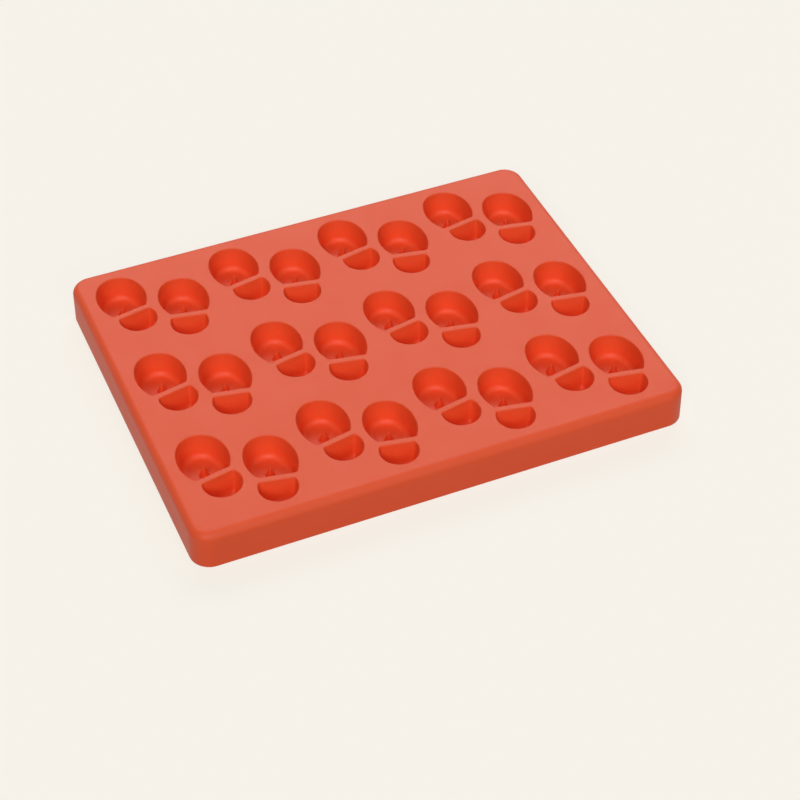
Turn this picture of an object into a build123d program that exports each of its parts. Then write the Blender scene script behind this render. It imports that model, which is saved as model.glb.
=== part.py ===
from build123d import *
import math
import os

# Footprint baking mold, one flexible moulding of silicone rubber.
# Sizes are in millimetres. The origin is on the table under the middle of the tray,
# X runs along the long side, Y away from the front and Z up.

# Outer form, measured where it stands on the table
tray_length = 251.2
tray_width = 197.4
tray_height = 20.0
corner_radius = 10.0
shoulder_radius = 4.0
wall_draft = 1.0
skirt_thickness = 2.6
deck_thickness = 2.0
inner_bevel = 2.0

# The footprints stand in pairs: three rows of four, each foot in a cell of its own
pair_pitch = 60.0
row_pitch = 62.2
pairs_in_row = 4
row_names = ["back", "middle", "front"]
cells_corner_radius = 4.0

# Place of one foot in its cell, by the centre of its toe arc
foot_spread = 14.35
left_toe_y = 16.85
right_step_back = 12.5
foot_turn = 10.6

# Mouth of the sole: a toe arc and two flank arcs tangent to it, cut off by the bar
toe_radius = 11.25
inner_flank_radius = 19.8
outer_flank_radius = 21.8
inner_flank_angle = 18.9
outer_flank_angle = 143.5
sole_bar_y = -15.6

# Mouth of the heel: a round cut off by the other side of the bar
heel_radius = 9.45
heel_x = -1.25
heel_y = -23.0
heel_bar_y = -18.7

# Depth of the cavities and what lies round them
cavity_depth = 12.0
cavity_draft = 11.0
pod_wall = 1.6
pod_floor = 2.0

# Pods and spikes have flat sides, because they repeat 24 times and every face of theirs counts
toe_flats = 5
heel_flats = 4
spike_sides = 8

# The spike on the floor of the sole
spike_height = 5.0
spike_foot_radius = 2.8
spike_tip_radius = 0.5
spike_x = -0.5
spike_y = -3.7


def polar(radius, degrees):
    angle = math.radians(degrees)
    return Vector(radius * math.cos(angle), radius * math.sin(angle))


cell_width = pair_pitch / 2
cells_length = pairs_in_row * pair_pitch
cells_width = len(row_names) * row_pitch
toe_centre = Vector(0, 0)
inner_centre = polar(toe_radius - inner_flank_radius, inner_flank_angle)
outer_centre = polar(toe_radius - outer_flank_radius, outer_flank_angle)
heel_centre = Vector(heel_x, heel_y)


def arc(centre, radius, start, end):
    return CenterArc(centre, radius, start, end - start)


def height_angle(centre, radius, y):
    # Where a round reaches a height, on its right side
    return math.degrees(math.asin((y - centre.Y) / radius))


def sole_mouth():
    inner_end = height_angle(inner_centre, inner_flank_radius, sole_bar_y)
    outer_end = 180 - height_angle(outer_centre, outer_flank_radius, sole_bar_y)
    inner_flank = arc(inner_centre, inner_flank_radius, inner_end, inner_flank_angle)
    toe = arc(toe_centre, toe_radius, inner_flank_angle, outer_flank_angle)
    outer_flank = arc(outer_centre, outer_flank_radius, outer_flank_angle, outer_end)
    return make_face([inner_flank, toe, outer_flank, Line(outer_flank @ 1, inner_flank @ 0)])


def heel_mouth():
    bar_end = height_angle(heel_centre, heel_radius, heel_bar_y)
    back = arc(heel_centre, heel_radius, bar_end, -180 - bar_end)
    return make_face([back, Line(back @ 1, back @ 0)])


def common_tangent(centre, radius, side):
    # The direction in which a flank arc and the heel arc are touched by one straight line
    between = centre - heel_centre
    lean = math.degrees(math.acos((heel_radius - radius) / between.length))
    return math.degrees(math.atan2(between.Y, between.X)) + side * lean


def flat_sides(centre, radius, start, end, count):
    # Straight sides that touch a round, each by its direction and its distance from the origin
    directions = [start + (end - start) * step / count for step in range(count)]
    return [(turn, centre.dot(polar(1, turn)) + radius) for turn in directions]


def pod_outline():
    # Flat sides round both mouths, a wall's thickness outside them. The two long ones touch
    # a flank and the heel, and the others the toe and the back of the heel.
    inner = common_tangent(inner_centre, inner_flank_radius, -1)
    outer = common_tangent(outer_centre, outer_flank_radius, 1)
    toe = flat_sides(toe_centre, toe_radius + pod_wall, inner, outer, toe_flats)[1:]
    heel = flat_sides(heel_centre, heel_radius + pod_wall, outer, inner + 360, heel_flats)
    long_side = flat_sides(heel_centre, heel_radius + pod_wall, inner, outer, 1)
    around = long_side + toe + heel
    corners = []
    for (turn, distance), (next_turn, next_distance) in zip(around, around[1:] + around[:1]):
        corner_angle = math.radians(next_turn - turn)
        along = (next_distance - distance * math.cos(corner_angle)) / math.sin(corner_angle)
        corners.append(polar(distance, turn) + polar(along, turn + 90))
    return make_face(Polyline(*corners, close=True))


def drafted(outline, height, angle):
    # A prism on its outline whose walls lean inwards, upwards for a height over 0, else downwards
    prism = extrude(outline, abs(height), dir=(0, 0, math.copysign(1, height)))
    walls = prism.faces().filter_by(Axis.Z, reverse=True)
    return draft(walls, Plane.XY, math.copysign(angle, height))


def spike():
    lean = math.degrees(math.atan((spike_foot_radius - spike_tip_radius) / spike_height))
    return drafted(RegularPolygon(spike_foot_radius, spike_sides), spike_height, lean)


def foot_hollows():
    # Both cavities taper in from their mouths to flat floors, and the spike stands in the sole
    sole = drafted(sole_mouth(), -cavity_depth, cavity_draft)
    heel = drafted(heel_mouth(), -cavity_depth, cavity_draft)
    return sole + heel - Pos(spike_x, spike_y, -cavity_depth) * spike()


def foot_cell(side):
    # One foot with its share of the deck; side is -1 for a left foot and 1 for a right foot
    pod = drafted(pod_outline(), -cavity_depth - pod_floor, cavity_draft)
    hollows = foot_hollows()
    if side > 0:
        pod = mirror(pod, Plane.YZ)
        hollows = mirror(hollows, Plane.YZ)
    toe_y = left_toe_y if side < 0 else left_toe_y - right_step_back
    place = Pos(side * foot_spread, toe_y, tray_height) * Rot(0, 0, -side * foot_turn)
    under_top = (Align.CENTER, Align.CENTER, Align.MAX)
    deck = Box(cell_width, row_pitch, deck_thickness, align=under_top)
    return Pos(side * cell_width / 2, 0, tray_height) * deck + place * pod - place * hollows


def all_cells():
    # The block of space that the cells fill and the rim goes round
    return extrude(RectangleRounded(cells_length, cells_width, cells_corner_radius), tray_height)


def row_of_feet(cell, row):
    y = (1 - row) * row_pitch
    first_x = -pair_pitch * (pairs_in_row - 1) / 2
    return [Pos(first_x + i * pair_pitch, y, 0) * cell & all_cells() for i in range(pairs_in_row)]


def rim_and_skirt():
    # The border of the deck, rounded over the shoulder into a skirt that stands on the table
    base = RectangleRounded(tray_length, tray_width, corner_radius)
    outer = drafted(base, tray_height, wall_draft)
    outer = fillet(outer.faces().sort_by(Axis.Z)[-1].edges(), shoulder_radius)
    inner = extrude(offset(base, -skirt_thickness), tray_height - deck_thickness)
    inner = chamfer(inner.faces().sort_by(Axis.Z)[-1].edges(), inner_bevel)
    return outer - inner - all_cells()


def write(name, shapes):
    solids = [solid for shape in shapes for solid in shape.solids()]
    node = Compound(children=solids) if len(solids) > 1 else solids[0]
    node.label = name
    export_step(node, os.path.join("parts", name + ".step"))


os.makedirs("parts", exist_ok=True)
write("rim_and_skirt", [rim_and_skirt()])
for side, side_name in ((-1, "left"), (1, "right")):
    cell = foot_cell(side)
    for row, row_name in enumerate(row_names):
        write(f"{row_name}_row_{side_name}_feet", row_of_feet(cell, row))
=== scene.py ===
import math

import bpy
import numpy as np
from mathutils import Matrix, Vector


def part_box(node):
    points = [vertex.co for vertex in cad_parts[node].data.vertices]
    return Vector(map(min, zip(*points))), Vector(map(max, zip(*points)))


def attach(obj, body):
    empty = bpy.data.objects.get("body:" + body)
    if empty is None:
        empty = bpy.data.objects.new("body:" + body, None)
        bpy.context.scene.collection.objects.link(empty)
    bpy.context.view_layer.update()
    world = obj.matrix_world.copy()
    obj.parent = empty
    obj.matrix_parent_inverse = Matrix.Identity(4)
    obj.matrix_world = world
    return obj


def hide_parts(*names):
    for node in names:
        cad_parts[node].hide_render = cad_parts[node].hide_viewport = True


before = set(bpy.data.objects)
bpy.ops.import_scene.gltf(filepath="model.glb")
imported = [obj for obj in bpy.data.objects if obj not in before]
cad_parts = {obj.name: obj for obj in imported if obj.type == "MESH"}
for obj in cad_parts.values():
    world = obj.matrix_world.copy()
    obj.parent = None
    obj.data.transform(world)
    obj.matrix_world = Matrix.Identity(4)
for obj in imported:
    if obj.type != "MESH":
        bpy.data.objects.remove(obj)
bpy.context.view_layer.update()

# Footprint tray of flexible silicone, looked at from the front left, on a pale floor.
# Shapes are worked out in millimetres, with the origin on the table under the middle of
# the tray, and written to the meshes in metres.
millimetre = 0.001

# The measured outer size of the tray comes from the frame
rimLow, rimHigh = (np.array(c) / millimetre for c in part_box("rim_and_skirt"))


def between(a, b, share):
    return a + (b - a) * share


def arc(centreX, centreY, radius, fromAngle, toAngle, share):
    # Points on a round: the centre plus the radius turned by an angle that runs from one end
    # to the other. Rows are rings, so the centre, radius and angles may differ from row to row.
    angle = between(np.asarray(fromAngle), np.asarray(toAngle), share)
    return centreX + radius * np.cos(angle), centreY + radius * np.sin(angle)


def column(values):
    return np.asarray(values, float).reshape(-1, 1)


def shares(count, last=False):
    return np.linspace(0, 1, count, endpoint=last)


# Rim, shoulder and skirt. The window is the opening in the rim that the footprints fill.

rim = dict(
    cornerRadius=10.0,
    shoulderRadius=4.0,
    wallDraft=1.0,
    skirtThickness=2.6,
    deckThickness=2.0,
    footRounding=0.6,
    innerRounding=2.4,
    windowLength=240.0,
    windowWidth=186.6,
    windowCorner=4.0,
    sideSteps=90,
    cornerSteps=28,
    footSteps=7,
    shoulderSteps=16,
    wallSteps=9,
    innerWallSteps=8,
    innerSteps=9,
)


def roundedRectangle(halfLength, halfWidth, cornerRadius):
    # One ring per row. Straight sides and quarter rounds follow each other anticlockwise; each
    # quarter is its corner centre plus the corner radius turned through a right angle.
    x, y = [], []
    side, corner = shares(rim["sideSteps"]), shares(rim["cornerSteps"])
    for quarter in range(4):
        signX, signY = ((1, 1), (-1, 1), (-1, -1), (1, -1))[quarter]
        centreX = signX * (halfLength - cornerRadius)
        centreY = signY * (halfWidth - cornerRadius)
        start = math.radians(90 * quarter)
        cornerX, cornerY = arc(centreX, centreY, cornerRadius, start, start + math.pi / 2, corner)
        nextX, nextY = ((-1, 1), (-1, -1), (1, -1), (1, 1))[quarter]
        nextCentreX = nextX * (halfLength - cornerRadius)
        nextCentreY = nextY * (halfWidth - cornerRadius)
        turn = start + math.pi / 2
        fromX = centreX + cornerRadius * math.cos(turn)
        fromY = centreY + cornerRadius * math.sin(turn)
        toX = nextCentreX + cornerRadius * math.cos(turn)
        toY = nextCentreY + cornerRadius * math.sin(turn)
        x += [cornerX, between(fromX, toX, side)]
        y += [cornerY, between(fromY, toY, side)]
    return np.hstack(x), np.hstack(y)


def outerFillet(lean, radius, steps):
    # Rounding between a level top and a wall that falls away, leaning by an angle: the circle
    # touches both, so its centre lies a radius below the top and the points are that centre
    # plus the radius at angles from straight up to square to the wall. Gives how far each
    # point lies past the sharp edge, and its height under the top.
    centre = radius * (1 - math.sin(lean)) / math.cos(lean)
    angle = between(0.0, math.pi / 2 - lean, shares(steps, True))
    return radius * np.sin(angle) - centre, radius * np.cos(angle) - radius


def innerFillet(lean, radius, steps):
    # Rounding between a level floor and a wall that rises from it, leaning by an angle: the
    # circle touches both from the open side. Gives how far each point lies in from the foot of
    # the wall, and its height over the floor, from the wall to the floor.
    centre = radius * (1 - math.sin(lean)) / math.cos(lean)
    angle = between(lean, math.pi / 2, shares(steps, True))
    return centre - radius * np.cos(angle), radius - radius * np.sin(angle)


def gridQuads(rows, columns, first=0):
    # Faces of a closed ring grid: every point joins its neighbour round the ring and the
    # same two points of the next row
    here = first + np.arange(rows - 1).reshape(-1, 1) * columns + np.arange(columns)
    beside = first + np.arange(rows - 1).reshape(-1, 1) * columns + (np.arange(columns) + 1) % columns
    return np.stack([here, beside, beside + columns, here + columns], -1).reshape(-1, 4)


def rings(x, y, z):
    x, y, z = np.broadcast_arrays(x, y, z)
    return np.stack([x, y, z], -1)


def stitch(parts):
    # Joins grids into one closed skin: points that fall together become one, quads that have
    # lost a side become triangles
    points, quads, first = [], [], 0
    for grid in parts:
        rows, columns = grid.shape[:2]
        points.append(grid.reshape(-1, 3))
        quads.append(gridQuads(rows, columns, first))
        first += rows * columns
    points, quads = np.vstack(points), np.vstack(quads)
    rounded = np.round(points, 4)
    unique, index = np.unique(rounded, axis=0, return_inverse=True)
    quads = index.reshape(-1)[quads]
    same = quads == np.roll(quads, -1, 1)
    whole = quads[same.sum(1) == 0]
    triangles = quads[same.sum(1) == 1]
    keep = ~same[same.sum(1) == 1]
    triangles = triangles[keep].reshape(-1, 3)
    return unique, whole, triangles


def makePiece(name, nodes, parts, material):
    points, quads, triangles = stitch(parts)
    mesh = bpy.data.meshes.new(name)
    mesh.from_pydata((points * millimetre).tolist(), [], quads.tolist() + triangles.tolist())
    mesh.shade_smooth()
    mesh.set_sharp_from_angle(angle=math.radians(50))
    mesh.materials.append(material)
    piece = bpy.data.objects.new(name, mesh)
    bpy.context.scene.collection.objects.link(piece)
    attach(piece, "root")
    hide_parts(*nodes)
    print(name, len(points), "points", len(quads) * 2 + len(triangles), "triangles")
    return piece


def rimRings():
    # A profile carried round the tray: each row is a rounded rectangle, moved in from the
    # outline on the table by the profile's inset and raised to its height. The corner radius
    # shrinks by the inset, so every wall keeps its distance.
    halfLength = (rimHigh[0] - rimLow[0]) / 2
    halfWidth = (rimHigh[1] - rimLow[1]) / 2
    height = rimHigh[2] - rimLow[2]
    lean = math.radians(rim["wallDraft"])
    deckUnder = height - rim["deckThickness"]
    edge = rim["footRounding"]
    edgeAngle = between(-math.pi / 2, 0.0, shares(rim["footSteps"], True))
    outerEdgeInset = edge - edge * np.cos(edgeAngle)
    edgeHeight = edge + edge * np.sin(edgeAngle)
    past, under = outerFillet(lean, rim["shoulderRadius"], rim["shoulderSteps"])
    shoulderInset = height * math.tan(lean) - past
    shoulderHeight = height + under
    wallHeight = between(edge, shoulderHeight[-1], shares(rim["wallSteps"], True))[1:-1]
    wallInset = wallHeight * math.tan(lean)
    outside = (
        np.concatenate([outerEdgeInset, wallInset, shoulderInset[::-1]]),
        np.concatenate([edgeHeight, wallHeight, shoulderHeight[::-1]]),
    )
    # The inner wall stands upright, so the skirt thins a little towards the shoulder
    thickness = rim["skirtThickness"]
    inward, over = innerFillet(0.0, rim["innerRounding"], rim["innerSteps"])
    innerEdgeInset = thickness - edge + edge * np.cos(edgeAngle)
    innerWallTop = deckUnder - rim["innerRounding"]
    innerWallHeight = between(edge, innerWallTop, shares(rim["innerWallSteps"], True))[1:-1]
    innerWallInset = np.full(len(innerWallHeight), thickness)
    inside = (
        np.concatenate([innerEdgeInset, innerWallInset, thickness + inward]),
        np.concatenate([edgeHeight, innerWallHeight, deckUnder - over]),
    )

    def ring(inset, z):
        inset = column(inset)
        x, y = roundedRectangle(halfLength - inset, halfWidth - inset, rim["cornerRadius"] - inset)
        return rings(x, y, column(z))

    def windowRing(z):
        halfWindow = column([rim["windowLength"] / 2]), column([rim["windowWidth"] / 2])
        x, y = roundedRectangle(*halfWindow, rim["windowCorner"])
        return rings(x, y, column([z]))

    bottom = ring([inside[0][0], outside[0][0]], [0.0, 0.0])
    return [
        bottom,
        ring(*outside),
        np.concatenate([ring([outside[0][-1]], [height]), windowRing(height)]),
        np.concatenate([windowRing(height), windowRing(deckUnder)]),
        np.concatenate([windowRing(deckUnder), ring([inside[0][-1]], [deckUnder])]),
        ring(inside[0][::-1], inside[1][::-1]),
    ]


# One footprint, in a frame of its own with its origin at the middle of the toe round

foot = dict(
    toeRadius=11.25,
    innerFlankRadius=19.8,
    innerFlankAngle=18.9,
    outerFlankRadius=21.8,
    outerFlankAngle=143.5,
    soleBar=-15.6,
    heelRadius=9.45,
    heelX=-1.25,
    heelY=-23.0,
    heelBar=-18.7,
    corner=1.3,
    depth=12.0,
    draft=11.0,
    mouthRounding=0.6,
    floorRounding=3.0,
    podWall=1.6,
    podFloor=2.0,
    podRounding=1.5,
    soleMiddleY=-5.0,
    heelMiddleY=-22.5,
    podMiddleY=-8.0,
    mouthSteps=9,
    wallSteps=9,
    floorRoundingSteps=11,
    podRoundingSteps=7,
    podWallSteps=6,
    outlineSteps=400,
    deckSteps=3,
    floorSteps=5,
)

spike = dict(
    x=-0.5,
    y=-3.7,
    footRadius=2.3,
    lean=20.5,
    tipRadius=0.5,
    rootRounding=0.8,
    rootSteps=6,
    flankSteps=8,
    tipSteps=7,
)

cell = dict(
    width=30.0,
    length=62.2,
    pairsInRow=4,
    footSpread=14.35,
    leftToeY=16.85,
    rightStepBack=12.5,
    footTurn=10.6,
    cornerReach=1.2,
)


def flank(radius, degrees):
    # Centre of a flank round: back from the toe round's end by the difference of the radii
    reach = foot["toeRadius"] - radius
    return reach * math.cos(math.radians(degrees)), reach * math.sin(math.radians(degrees))


innerFlankX, innerFlankY = flank(foot["innerFlankRadius"], foot["innerFlankAngle"])
outerFlankX, outerFlankY = flank(foot["outerFlankRadius"], foot["outerFlankAngle"])
barSteps, cornerSteps, flankSteps, toeSteps, heelSteps = 26, 8, 34, 52, 72
barCount = barSteps + 2 * cornerSteps


def cornerOf(centreX, centreY, radius, barY, corner, side, above):
    # The small round between a big round and the bar: its centre is a corner radius off the
    # bar and a corner radius inside the big round, so it touches both
    y = barY + above * corner
    x = centreX + side * np.sqrt((radius - corner) ** 2 - (y - centreY) ** 2)
    return x, y, np.arctan2(y - centreY, x - centreX)


def soleOutline(inset):
    # One ring per inset, anticlockwise from the left end of the bar: corner, bar, corner,
    # inner flank, toe, outer flank. Every round keeps its centre and loses the inset.
    inset = column(inset)
    corner = foot["corner"] + np.maximum(-inset, 0)
    barY = foot["soleBar"] + inset
    inner, outer = foot["innerFlankRadius"] - inset, foot["outerFlankRadius"] - inset
    rightX, rightY, rightAngle = cornerOf(innerFlankX, innerFlankY, inner, barY, corner, 1, 1)
    leftX, leftY, leftAngle = cornerOf(outerFlankX, outerFlankY, outer, barY, corner, -1, 1)
    leftAngle = leftAngle % (2 * math.pi)
    down = 1.5 * math.pi
    toeStart, toeEnd = math.radians(foot["innerFlankAngle"]), math.radians(foot["outerFlankAngle"])
    stretches = [
        arc(leftX, leftY, corner, leftAngle, down, shares(cornerSteps)),
        (between(leftX, rightX, shares(barSteps)), barY + 0 * shares(barSteps)),
        arc(rightX, rightY, corner, down, rightAngle + 2 * math.pi, shares(cornerSteps)),
        arc(innerFlankX, innerFlankY, inner, rightAngle, toeStart, shares(flankSteps)),
        arc(0, 0, foot["toeRadius"] - inset, toeStart, toeEnd, shares(toeSteps)),
        arc(outerFlankX, outerFlankY, outer, toeEnd, leftAngle, shares(flankSteps)),
    ]
    return np.hstack([s[0] for s in stretches]), np.hstack([s[1] for s in stretches])


def heelOutline(inset):
    # One ring per inset, anticlockwise from the right end of the bar: corner, bar, corner,
    # then the heel round
    inset = column(inset)
    corner = foot["corner"] + np.maximum(-inset, 0)
    barY = foot["heelBar"] - inset
    radius = foot["heelRadius"] - inset
    heelX, heelY = foot["heelX"], foot["heelY"]
    rightX, rightY, rightAngle = cornerOf(heelX, heelY, radius, barY, corner, 1, -1)
    leftX, leftY, leftAngle = cornerOf(heelX, heelY, radius, barY, corner, -1, -1)
    up = 0.5 * math.pi
    stretches = [
        arc(rightX, rightY, corner, rightAngle, up, shares(cornerSteps)),
        (between(rightX, leftX, shares(barSteps)), barY + 0 * shares(barSteps)),
        arc(leftX, leftY, corner, up, leftAngle % (2 * math.pi), shares(cornerSteps)),
        arc(heelX, heelY, radius, leftAngle % (2 * math.pi), rightAngle + 2 * math.pi, shares(heelSteps)),
    ]
    return np.hstack([s[0] for s in stretches]), np.hstack([s[1] for s in stretches])


def cavityProfile():
    # From the deck down to the floor: mouth rounding, leaning wall, floor rounding, each as
    # inset from the sharp mouth and depth
    lean = math.radians(foot["draft"])
    past, under = outerFillet(lean, foot["mouthRounding"], foot["mouthSteps"])
    inward, over = innerFillet(lean, foot["floorRounding"], foot["floorRoundingSteps"])
    floorInset = foot["depth"] * math.tan(lean)
    fillInset, fillDepth = floorInset + inward, over - foot["depth"]
    wallDepth = between(under[-1], fillDepth[0], shares(foot["wallSteps"], True))[1:-1]
    inset = np.concatenate([past, -wallDepth * math.tan(lean), fillInset])
    return inset, np.concatenate([under, wallDepth, fillDepth])


def spikeProfile():
    # Radius and height over the floor, from the foot of the root rounding to the tip: root
    # round, straight flank, tip round
    lean = math.radians(spike["lean"])
    inward, over = innerFillet(lean, spike["rootRounding"], spike["rootSteps"])
    rootRadius, rootHeight = (spike["footRadius"] + inward)[::-1], over[::-1]
    tip = spike["tipRadius"]
    tipCentre = (spike["footRadius"] * math.cos(lean) - tip) / math.sin(lean)
    angle = between(lean, math.pi / 2, shares(spike["tipSteps"], True))
    tipRadius, tipHeight = tip * np.cos(angle), tipCentre + tip * np.sin(angle)
    flankShare = shares(spike["flankSteps"], True)[1:-1]
    flankRadius = between(rootRadius[-1], tipRadius[0], flankShare)
    flankHeight = between(rootHeight[-1], tipHeight[0], flankShare)
    radius = np.concatenate([rootRadius, flankRadius, tipRadius])
    return radius, np.concatenate([rootHeight, flankHeight, tipHeight])


def touchingLine(centreX, centreY, radius, side):
    # Direction in which one straight line touches both a flank round and the heel round. It
    # is turned off the line between the centres by the angle whose cosine is the difference
    # of the radii over the distance.
    offX, offY = centreX - foot["heelX"], centreY - foot["heelY"]
    lean = math.acos((foot["heelRadius"] - radius) / math.hypot(offX, offY))
    return math.atan2(offY, offX) + side * lean


def podOutline(grow, angle, centreY):
    # Where rays from a centre on the footprint's middle, one for each angle, cross the outline
    # round both cavities, grown by a wall: rounds and the straight lines that touch them
    innerEnd = touchingLine(innerFlankX, innerFlankY, foot["innerFlankRadius"], -1)
    outerEnd = touchingLine(outerFlankX, outerFlankY, foot["outerFlankRadius"], 1)
    grow = column(grow)
    toeStart, toeEnd = math.radians(foot["innerFlankAngle"]), math.radians(foot["outerFlankAngle"])
    fine = shares(foot["outlineSteps"])
    stretches = [
        arc(innerFlankX, innerFlankY, foot["innerFlankRadius"] + grow, innerEnd, toeStart, fine),
        arc(0, 0, foot["toeRadius"] + grow, toeStart, toeEnd, fine),
        arc(outerFlankX, outerFlankY, foot["outerFlankRadius"] + grow, toeEnd, outerEnd, fine),
        arc(foot["heelX"], foot["heelY"], foot["heelRadius"] + grow, outerEnd,
            innerEnd + 2 * math.pi, fine),
    ]
    x = np.hstack([s[0] for s in stretches])
    y = np.hstack([s[1] for s in stretches]) - centreY
    turned = np.unwrap(np.arctan2(y, x), axis=1)
    foundX, foundY = [], []
    for row in range(len(grow)):
        start = turned[row, 0]
        wrapped = start + (angle - start) % (2 * math.pi)
        closed = np.append(turned[row], start + 2 * math.pi)
        # A straight line between two rounds is straight in x and y, so both are looked up
        foundX.append(np.interp(wrapped, closed, np.append(x[row], x[row, 0])))
        foundY.append(np.interp(wrapped, closed, np.append(y[row], y[row, 0])) + centreY)
    return np.array(foundX), np.array(foundY)


def footParts(side, pairX, rowY):
    # All the grids of one footprint's cell, in the tray's frame
    turn = math.radians(-side * cell["footTurn"])
    toeX = pairX + side * cell["footSpread"]
    toeY = rowY + (cell["leftToeY"] if side < 0 else cell["leftToeY"] - cell["rightStepBack"])
    low = np.array([pairX + min(side, 0) * cell["width"], rowY - cell["length"] / 2])
    high = low + [cell["width"], cell["length"]]
    top = rimHigh[2]

    def place(x, y):
        # Mirrored for a right foot, then turned and moved to its place
        x = -side * x
        return (
            toeX + x * math.cos(turn) - y * math.sin(turn),
            toeY + x * math.sin(turn) + y * math.cos(turn),
        )

    def roundOff(x, y):
        # Pulls the outermost corner of the deck in to the round that the rim meets it with
        radius = rim["windowCorner"]
        centreX = np.sign(x) * (rim["windowLength"] / 2 - radius)
        centreY = np.sign(y) * (rim["windowWidth"] / 2 - radius)
        offX, offY = x - centreX, y - centreY
        beyond = (offX * np.sign(x) > 0) & (offY * np.sign(y) > 0)
        pull = np.where(beyond, radius / np.maximum(np.hypot(offX, offY), radius), 1.0)
        return centreX + offX * pull, centreY + offY * pull

    def edgeAt(angle, centre):
        # Where a ray from the centre leaves the cell: the nearest of the sides it heads for.
        # The point nearest to each corner of the cell is put on that corner.
        dx, dy = np.cos(angle), np.sin(angle)
        reachX = np.where(dx > 0, high[0] - centre[0], low[0] - centre[0]) / np.where(dx == 0, 1e-9, dx)
        reachY = np.where(dy > 0, high[1] - centre[1], low[1] - centre[1]) / np.where(dy == 0, 1e-9, dy)
        reach = np.minimum(reachX, reachY)
        x, y = centre[0] + reach * dx, centre[1] + reach * dy
        for cornerX in (low[0], high[0]):
            for cornerY in (low[1], high[1]):
                gap = np.hypot(x - cornerX, y - cornerY)
                near = gap.argmin()
                if gap[near] < cell["cornerReach"]:
                    x[near], y[near] = cornerX, cornerY
        return x, y

    # The middle of the bar, carried to both sides of the cell
    middleX, middleY = place(0.0, (foot["soleBar"] + foot["heelBar"]) / 2)
    slope = math.tan(turn)
    leftEnd = np.array([low[0], middleY + (low[0] - middleX) * slope])
    rightEnd = np.array([high[0], middleY + (high[0] - middleX) * slope])
    if side > 0:
        leftEnd, rightEnd = rightEnd, leftEnd

    def region(outline, centreY, fromEnd, toEnd):
        # The ring where a cavity's share of the deck ends: along the bar the points are
        # evenly spread between the cell's sides, and elsewhere they are sent out from the
        # centre at angles stretched to fill what is left
        x, y = place(*(o[0] for o in outline([0.0])))
        centre = np.array(place(0.0, centreY))
        angle = np.unwrap(np.arctan2(y - centre[1], x - centre[0]))[barCount:]
        spin = -side
        start = math.atan2(toEnd[1] - centre[1], toEnd[0] - centre[0])
        end = math.atan2(fromEnd[1] - centre[1], fromEnd[0] - centre[0])
        sweep = ((end - start) * spin) % (2 * math.pi) * spin
        first, last = angle[0], angle[-1] + (angle[-1] - angle[-2])
        stretched = start + (angle - first) / (last - first) * sweep
        edgeX, edgeY = edgeAt(stretched, centre)
        edgeX[0], edgeY[0] = toEnd
        barShare = shares(barCount)
        ringX = np.concatenate([between(fromEnd[0], toEnd[0], barShare), edgeX])
        ringY = np.concatenate([between(fromEnd[1], toEnd[1], barShare), edgeY])
        return roundOff(ringX, ringY)

    def cavity(outline, centreY, fromEnd, toEnd):
        edgeX, edgeY = region(outline, centreY, fromEnd, toEnd)
        inset, depth = cavityProfile()
        x, y = place(*outline(inset))
        share = column(shares(foot["deckSteps"]))
        deckX, deckY = between(edgeX, x[0], share), between(edgeY, y[0], share)
        deck = rings(deckX, deckY, top + 0 * share)
        wall = rings(x, y, top + column(depth))
        return np.concatenate([deck, wall]), (edgeX, edgeY)

    sole, soleEdge = cavity(soleOutline, foot["soleMiddleY"], leftEnd, rightEnd)
    heel, heelEdge = cavity(heelOutline, foot["heelMiddleY"], rightEnd, leftEnd)

    # Sole floor: from the wall's foot straight in to the spike, then up to its tip
    radius, height = spikeProfile()
    spikeX, spikeY = place(spike["x"], spike["y"])
    outX, outY = sole[-1, :, 0], sole[-1, :, 1]
    around = np.arctan2(outY - spikeY, outX - spikeX)
    ringX = spikeX + column(radius) * np.cos(around)
    ringY = spikeY + column(radius) * np.sin(around)
    share = column(shares(foot["floorSteps"]))
    floorZ = top - foot["depth"]
    floor = rings(between(outX, ringX[0], share), between(outY, ringY[0], share), floorZ + 0 * share)
    spikeGrid = rings(ringX, ringY, floorZ + column(height))
    spikeGrid[-1] = spikeX, spikeY, floorZ + height[-1]
    soleFloor = np.concatenate([floor, spikeGrid])

    # Heel floor: straight in to its middle
    middle = heel[-1, :, :2].mean(0)
    share = column(shares(foot["floorSteps"], True))
    heelFloor = rings(
        between(heel[-1, :, 0], middle[0], share),
        between(heel[-1, :, 1], middle[1], share),
        floorZ + 0 * share,
    )
    heelFloor[-1] = middle[0], middle[1], floorZ

    # The cell's edge, from both shares of the deck, and its fall to the deck's underside
    edgeX = np.concatenate([soleEdge[0][barCount:], heelEdge[0][barCount:]])
    edgeY = np.concatenate([soleEdge[1][barCount:], heelEdge[1][barCount:]])
    under = top - rim["deckThickness"]
    fall = rings(edgeX, edgeY, column([under, top]))

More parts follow.
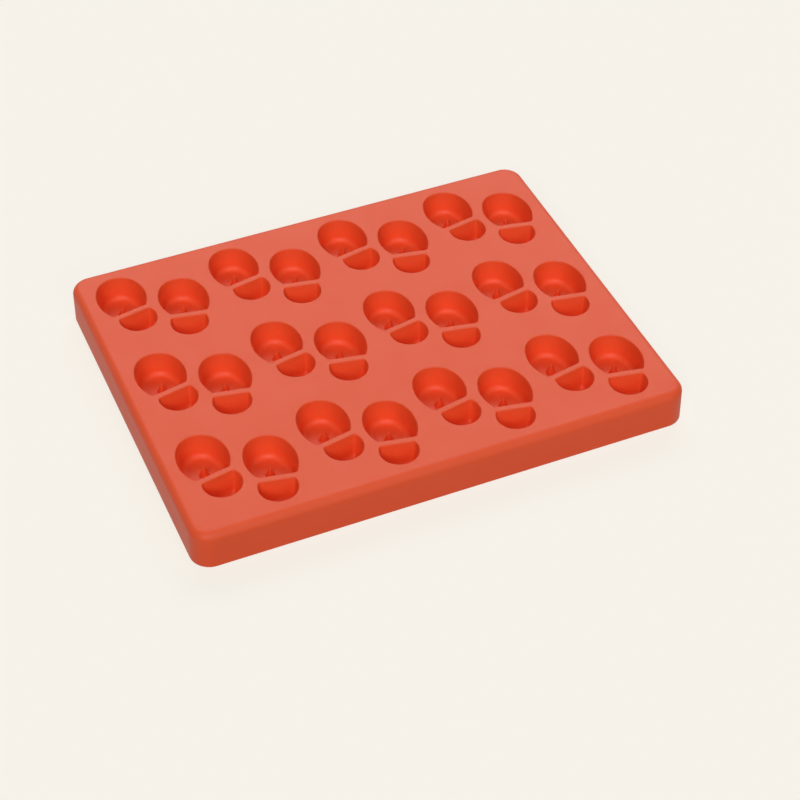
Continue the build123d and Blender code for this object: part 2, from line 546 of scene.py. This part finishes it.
    # Underside: the deck runs in to the pod, which goes down round both cavities
    lean = math.radians(foot["draft"])
    rooting = foot["podRounding"]
    podBottom = foot["depth"] + foot["podFloor"]
    inward, over = innerFillet(lean, rooting, foot["podRoundingSteps"])
    past, below = outerFillet(lean, rooting, foot["podRoundingSteps"])
    rootGrow = foot["podWall"] - rim["deckThickness"] * math.tan(lean) + inward
    rootDepth = -rim["deckThickness"] - over
    tipGrow = foot["podWall"] - podBottom * math.tan(lean) + past
    tipDepth = -podBottom - below
    wallShare = shares(foot["podWallSteps"], True)[1:-1]
    grow = np.concatenate([
        rootGrow[::-1], between(rootGrow[0], tipGrow[-1], wallShare), tipGrow[::-1],
    ])
    depth = np.concatenate([
        rootDepth[::-1], between(rootDepth[0], tipDepth[-1], wallShare), tipDepth[::-1],
    ])
    podX, podY = place(0.0, foot["podMiddleY"])
    offX, offY = edgeX - podX, edgeY - podY
    alongX = -side * (offX * math.cos(turn) + offY * math.sin(turn))
    alongY = -offX * math.sin(turn) + offY * math.cos(turn)
    angle = np.arctan2(alongY, alongX)
    outlineX, outlineY = place(*podOutline(grow, angle, foot["podMiddleY"]))
    share = column(shares(foot["deckSteps"]))
    podDeck = rings(
        between(edgeX, outlineX[0], share), between(edgeY, outlineY[0], share), under + 0 * share
    )
    pod = rings(outlineX, outlineY, top + column(depth))
    share = column(shares(foot["floorSteps"], True))
    podFloor = rings(
        between(outlineX[-1], podX, share), between(outlineY[-1], podY, share),
        top - podBottom + 0 * share,
    )
    podFloor[-1] = podX, podY, top - podBottom
    topGrids = [sole, soleFloor, heel, heelFloor]
    underGrids = [fall[::-1], np.concatenate([podDeck, pod]), podFloor]
    return topGrids, underGrids


def facingOut(grids, flip):
    # Rings of a mirrored footprint run the other way round, so they are turned back
    return [grid[:, ::-1] if flip else grid for grid in grids]


# Silicone: one dyed rubber with a satin skin, whose colour and shine drift a little from
# place to place, with a grain too fine to see as a shape

silicone = dict(
    colour=(0.91, 0.099, 0.025),
    deeper=(0.89, 0.092, 0.022),
    roughness=0.5,
    roughnessSpread=0.04,
    specular=0.42,
    mottleScale=60.0,
    mottleDetail=3.0,
    grainScale=900.0,
    grainDetail=2.0,
    grainDepth=0.00002,
    grainStrength=0.5,
)


def siliconeMaterial():
    material = bpy.data.materials.new("siliconeRubber")
    material.use_nodes = True
    nodes, links = material.node_tree.nodes, material.node_tree.links
    shader = nodes["Principled BSDF"]
    place = nodes.new("ShaderNodeTexCoord")
    mottle = nodes.new("ShaderNodeTexNoise")
    mottle.inputs["Scale"].default_value = silicone["mottleScale"]
    mottle.inputs["Detail"].default_value = silicone["mottleDetail"]
    links.new(place.outputs["Object"], mottle.inputs["Vector"])
    tint = nodes.new("ShaderNodeMix")
    tint.data_type = "RGBA"
    tint.inputs["A"].default_value = (*silicone["colour"], 1)
    tint.inputs["B"].default_value = (*silicone["deeper"], 1)
    links.new(mottle.outputs["Fac"], tint.inputs["Factor"])
    links.new(tint.outputs["Result"], shader.inputs["Base Color"])
    rough = nodes.new("ShaderNodeMapRange")
    rough.inputs["To Min"].default_value = silicone["roughness"] - silicone["roughnessSpread"]
    rough.inputs["To Max"].default_value = silicone["roughness"] + silicone["roughnessSpread"]
    links.new(mottle.outputs["Fac"], rough.inputs["Value"])
    links.new(rough.outputs["Result"], shader.inputs["Roughness"])
    grain = nodes.new("ShaderNodeTexNoise")
    grain.inputs["Scale"].default_value = silicone["grainScale"]
    grain.inputs["Detail"].default_value = silicone["grainDetail"]
    links.new(place.outputs["Object"], grain.inputs["Vector"])
    bump = nodes.new("ShaderNodeBump")
    bump.inputs["Distance"].default_value = silicone["grainDepth"]
    bump.inputs["Strength"].default_value = silicone["grainStrength"]
    links.new(grain.outputs["Fac"], bump.inputs["Height"])
    links.new(bump.outputs["Normal"], shader.inputs["Normal"])
    shader.inputs["Specular IOR Level"].default_value = silicone["specular"]
    return material


# Studio: a pale floor without a horizon, a faint even sky and broad lamps so far off that
# their light falls alike everywhere. A lamp's side is its angle from the tray's long axis,
# anticlockwise from above, its height the angle over the floor, and its share the light that
# it gives a surface square to it, where 1 shows a colour as it is written. The floor's glow
# is the part of its look that no shadow darkens, its light is what the lamps together give
# a level surface, and its bounce is how much it lights the tray from below.

studio = dict(
    floorColour=(0.922, 0.888, 0.815),
    floorGlow=0.85,
    floorLight=0.70,
    floorBounce=0.46,
    floorSize=20.0,
    skyStrength=0.05,
    lampSpread=24.0,
    lampDistance=2.0,
    lamps=[
        dict(name="keyLamp", side=232, height=38, share=0.328),
        dict(name="highLamp", side=265, height=66, share=0.160),
        dict(name="frontLamp", side=275, height=26, share=0.150),
        dict(name="backLamp", side=84, height=40, share=0.192),
        dict(name="backRightLamp", side=50, height=40, share=0.192),
    ],
)


def seenDirectly(nodes, links):
    # 1 for a ray that shows the background straight, in a reflection or through something
    # clear, and 0 for one that gathers light
    rays = nodes.new("ShaderNodeLightPath")
    mirrored = nodes.new("ShaderNodeMath")
    mirrored.operation = "MAXIMUM"
    links.new(rays.outputs["Is Camera Ray"], mirrored.inputs[0])
    links.new(rays.outputs["Is Glossy Ray"], mirrored.inputs[1])
    seen = nodes.new("ShaderNodeMath")
    seen.operation = "MAXIMUM"
    links.new(mirrored.outputs["Value"], seen.inputs[0])
    links.new(rays.outputs["Is Transmission Ray"], seen.inputs[1])
    return seen.outputs["Value"]


def makeFloor():
    half = studio["floorSize"] / 2
    mesh = bpy.data.meshes.new("floor")
    corners = [(-half, -half, 0), (half, -half, 0), (half, half, 0), (-half, half, 0)]
    mesh.from_pydata(corners, [], [(0, 1, 2, 3)])
    material = bpy.data.materials.new("floor")
    material.use_nodes = True
    nodes, links = material.node_tree.nodes, material.node_tree.links
    nodes.clear()
    colour = np.array(studio["floorColour"])
    # The floor that is looked at, straight or in a reflection: mostly its own even colour, and
    # the rest by the light that reaches it, so the tray's shadow shows softly
    glow = nodes.new("ShaderNodeEmission")
    glow.inputs["Color"].default_value = (*colour, 1)
    glow.inputs["Strength"].default_value = studio["floorGlow"]
    lit = nodes.new("ShaderNodeBsdfDiffuse")
    share = (1 - studio["floorGlow"]) / studio["floorLight"]
    lit.inputs["Color"].default_value = (*(colour * share), 1)
    seen = nodes.new("ShaderNodeAddShader")
    links.new(glow.outputs["Emission"], seen.inputs[0])
    links.new(lit.outputs["BSDF"], seen.inputs[1])
    # The floor as it lights the tray from below
    bounce = nodes.new("ShaderNodeBsdfDiffuse")
    bounce.inputs["Color"].default_value = (*(colour * studio["floorBounce"]), 1)
    choice = nodes.new("ShaderNodeMixShader")
    links.new(seenDirectly(nodes, links), choice.inputs["Fac"])
    links.new(bounce.outputs["BSDF"], choice.inputs[1])
    links.new(seen.outputs["Shader"], choice.inputs[2])
    surface = nodes.new("ShaderNodeOutputMaterial")
    links.new(choice.outputs["Shader"], surface.inputs["Surface"])
    mesh.materials.append(material)
    floor = bpy.data.objects.new("floor", mesh)
    bpy.context.scene.collection.objects.link(floor)


def makeLight():
    world = bpy.data.worlds.new("sky")
    world.use_nodes = True
    nodes, links = world.node_tree.nodes, world.node_tree.links
    sky = nodes["Background"]
    sky.inputs["Color"].default_value = (1, 1, 1, 1)
    sky.inputs["Strength"].default_value = studio["skyStrength"]
    # Beyond the floor the background goes on in the floor's colour
    backdrop = nodes.new("ShaderNodeBackground")
    backdrop.inputs["Color"].default_value = (*studio["floorColour"], 1)
    choice = nodes.new("ShaderNodeMixShader")
    links.new(seenDirectly(nodes, links), choice.inputs["Fac"])
    links.new(sky.outputs["Background"], choice.inputs[1])
    links.new(backdrop.outputs["Background"], choice.inputs[2])
    links.new(choice.outputs["Shader"], nodes["World Output"].inputs["Surface"])
    bpy.context.scene.world = world
    for lamp in studio["lamps"]:
        data = bpy.data.lights.new(lamp["name"], "SUN")
        data.angle = math.radians(studio["lampSpread"])
        data.energy = math.pi * lamp["share"]
        light = bpy.data.objects.new(lamp["name"], data)
        side, height = math.radians(lamp["side"]), math.radians(lamp["height"])
        level = math.cos(height)
        towards = Vector((level * math.cos(side), level * math.sin(side), math.sin(height)))
        light.location = towards * studio["lampDistance"]
        light.rotation_euler = towards.to_track_quat("Z", "Y").to_euler()
        bpy.context.scene.collection.objects.link(light)


# Camera: where the photograph was taken from, worked out from the rows of footprints

view = dict(
    place=(-0.2879, -0.7110, 0.6976),
    aim=(-0.0050, -0.0497, 0.0200),
    lens=93.27,
    sensor=36.0,
    clipStart=0.05,
)


def makeCamera():
    data = bpy.data.cameras.new("camera")
    data.lens = view["lens"]
    data.sensor_width = view["sensor"]
    data.sensor_fit = "HORIZONTAL"
    data.clip_start = view["clipStart"]
    camera = bpy.data.objects.new("camera", data)
    camera.location = view["place"]
    ahead = Vector(view["aim"]) - Vector(view["place"])
    camera.rotation_euler = ahead.to_track_quat("-Z", "Y").to_euler()
    bpy.context.scene.collection.objects.link(camera)
    bpy.context.scene.camera = camera


bpy.context.scene.view_settings.view_transform = "Standard"
makeCamera()
makeFloor()
makeLight()
print("camera, floor and light are set")

rubber = siliconeMaterial()
makePiece("rimAndSkirt", ["rim_and_skirt"], rimRings(), rubber)
print("rim is made")

pairPitch = 2 * cell["width"]
middlePair = (cell["pairsInRow"] - 1) / 2
for row, rowName in enumerate(("back", "middle", "front")):
    for side, sideName in ((-1, "left"), (1, "right")):
        node = f"{rowName}_row_{sideName}_feet"
        parts = []
        for pair in range(cell["pairsInRow"]):
            pairX = (pair - middlePair) * pairPitch
            above, below = footParts(side, pairX, (1 - row) * cell["length"])
            parts += facingOut(above, side > 0) + facingOut(below, side < 0)
        makePiece(rowName + "Row" + sideName.capitalize() + "Feet", [node], parts, rubber)
print("footprints are made")
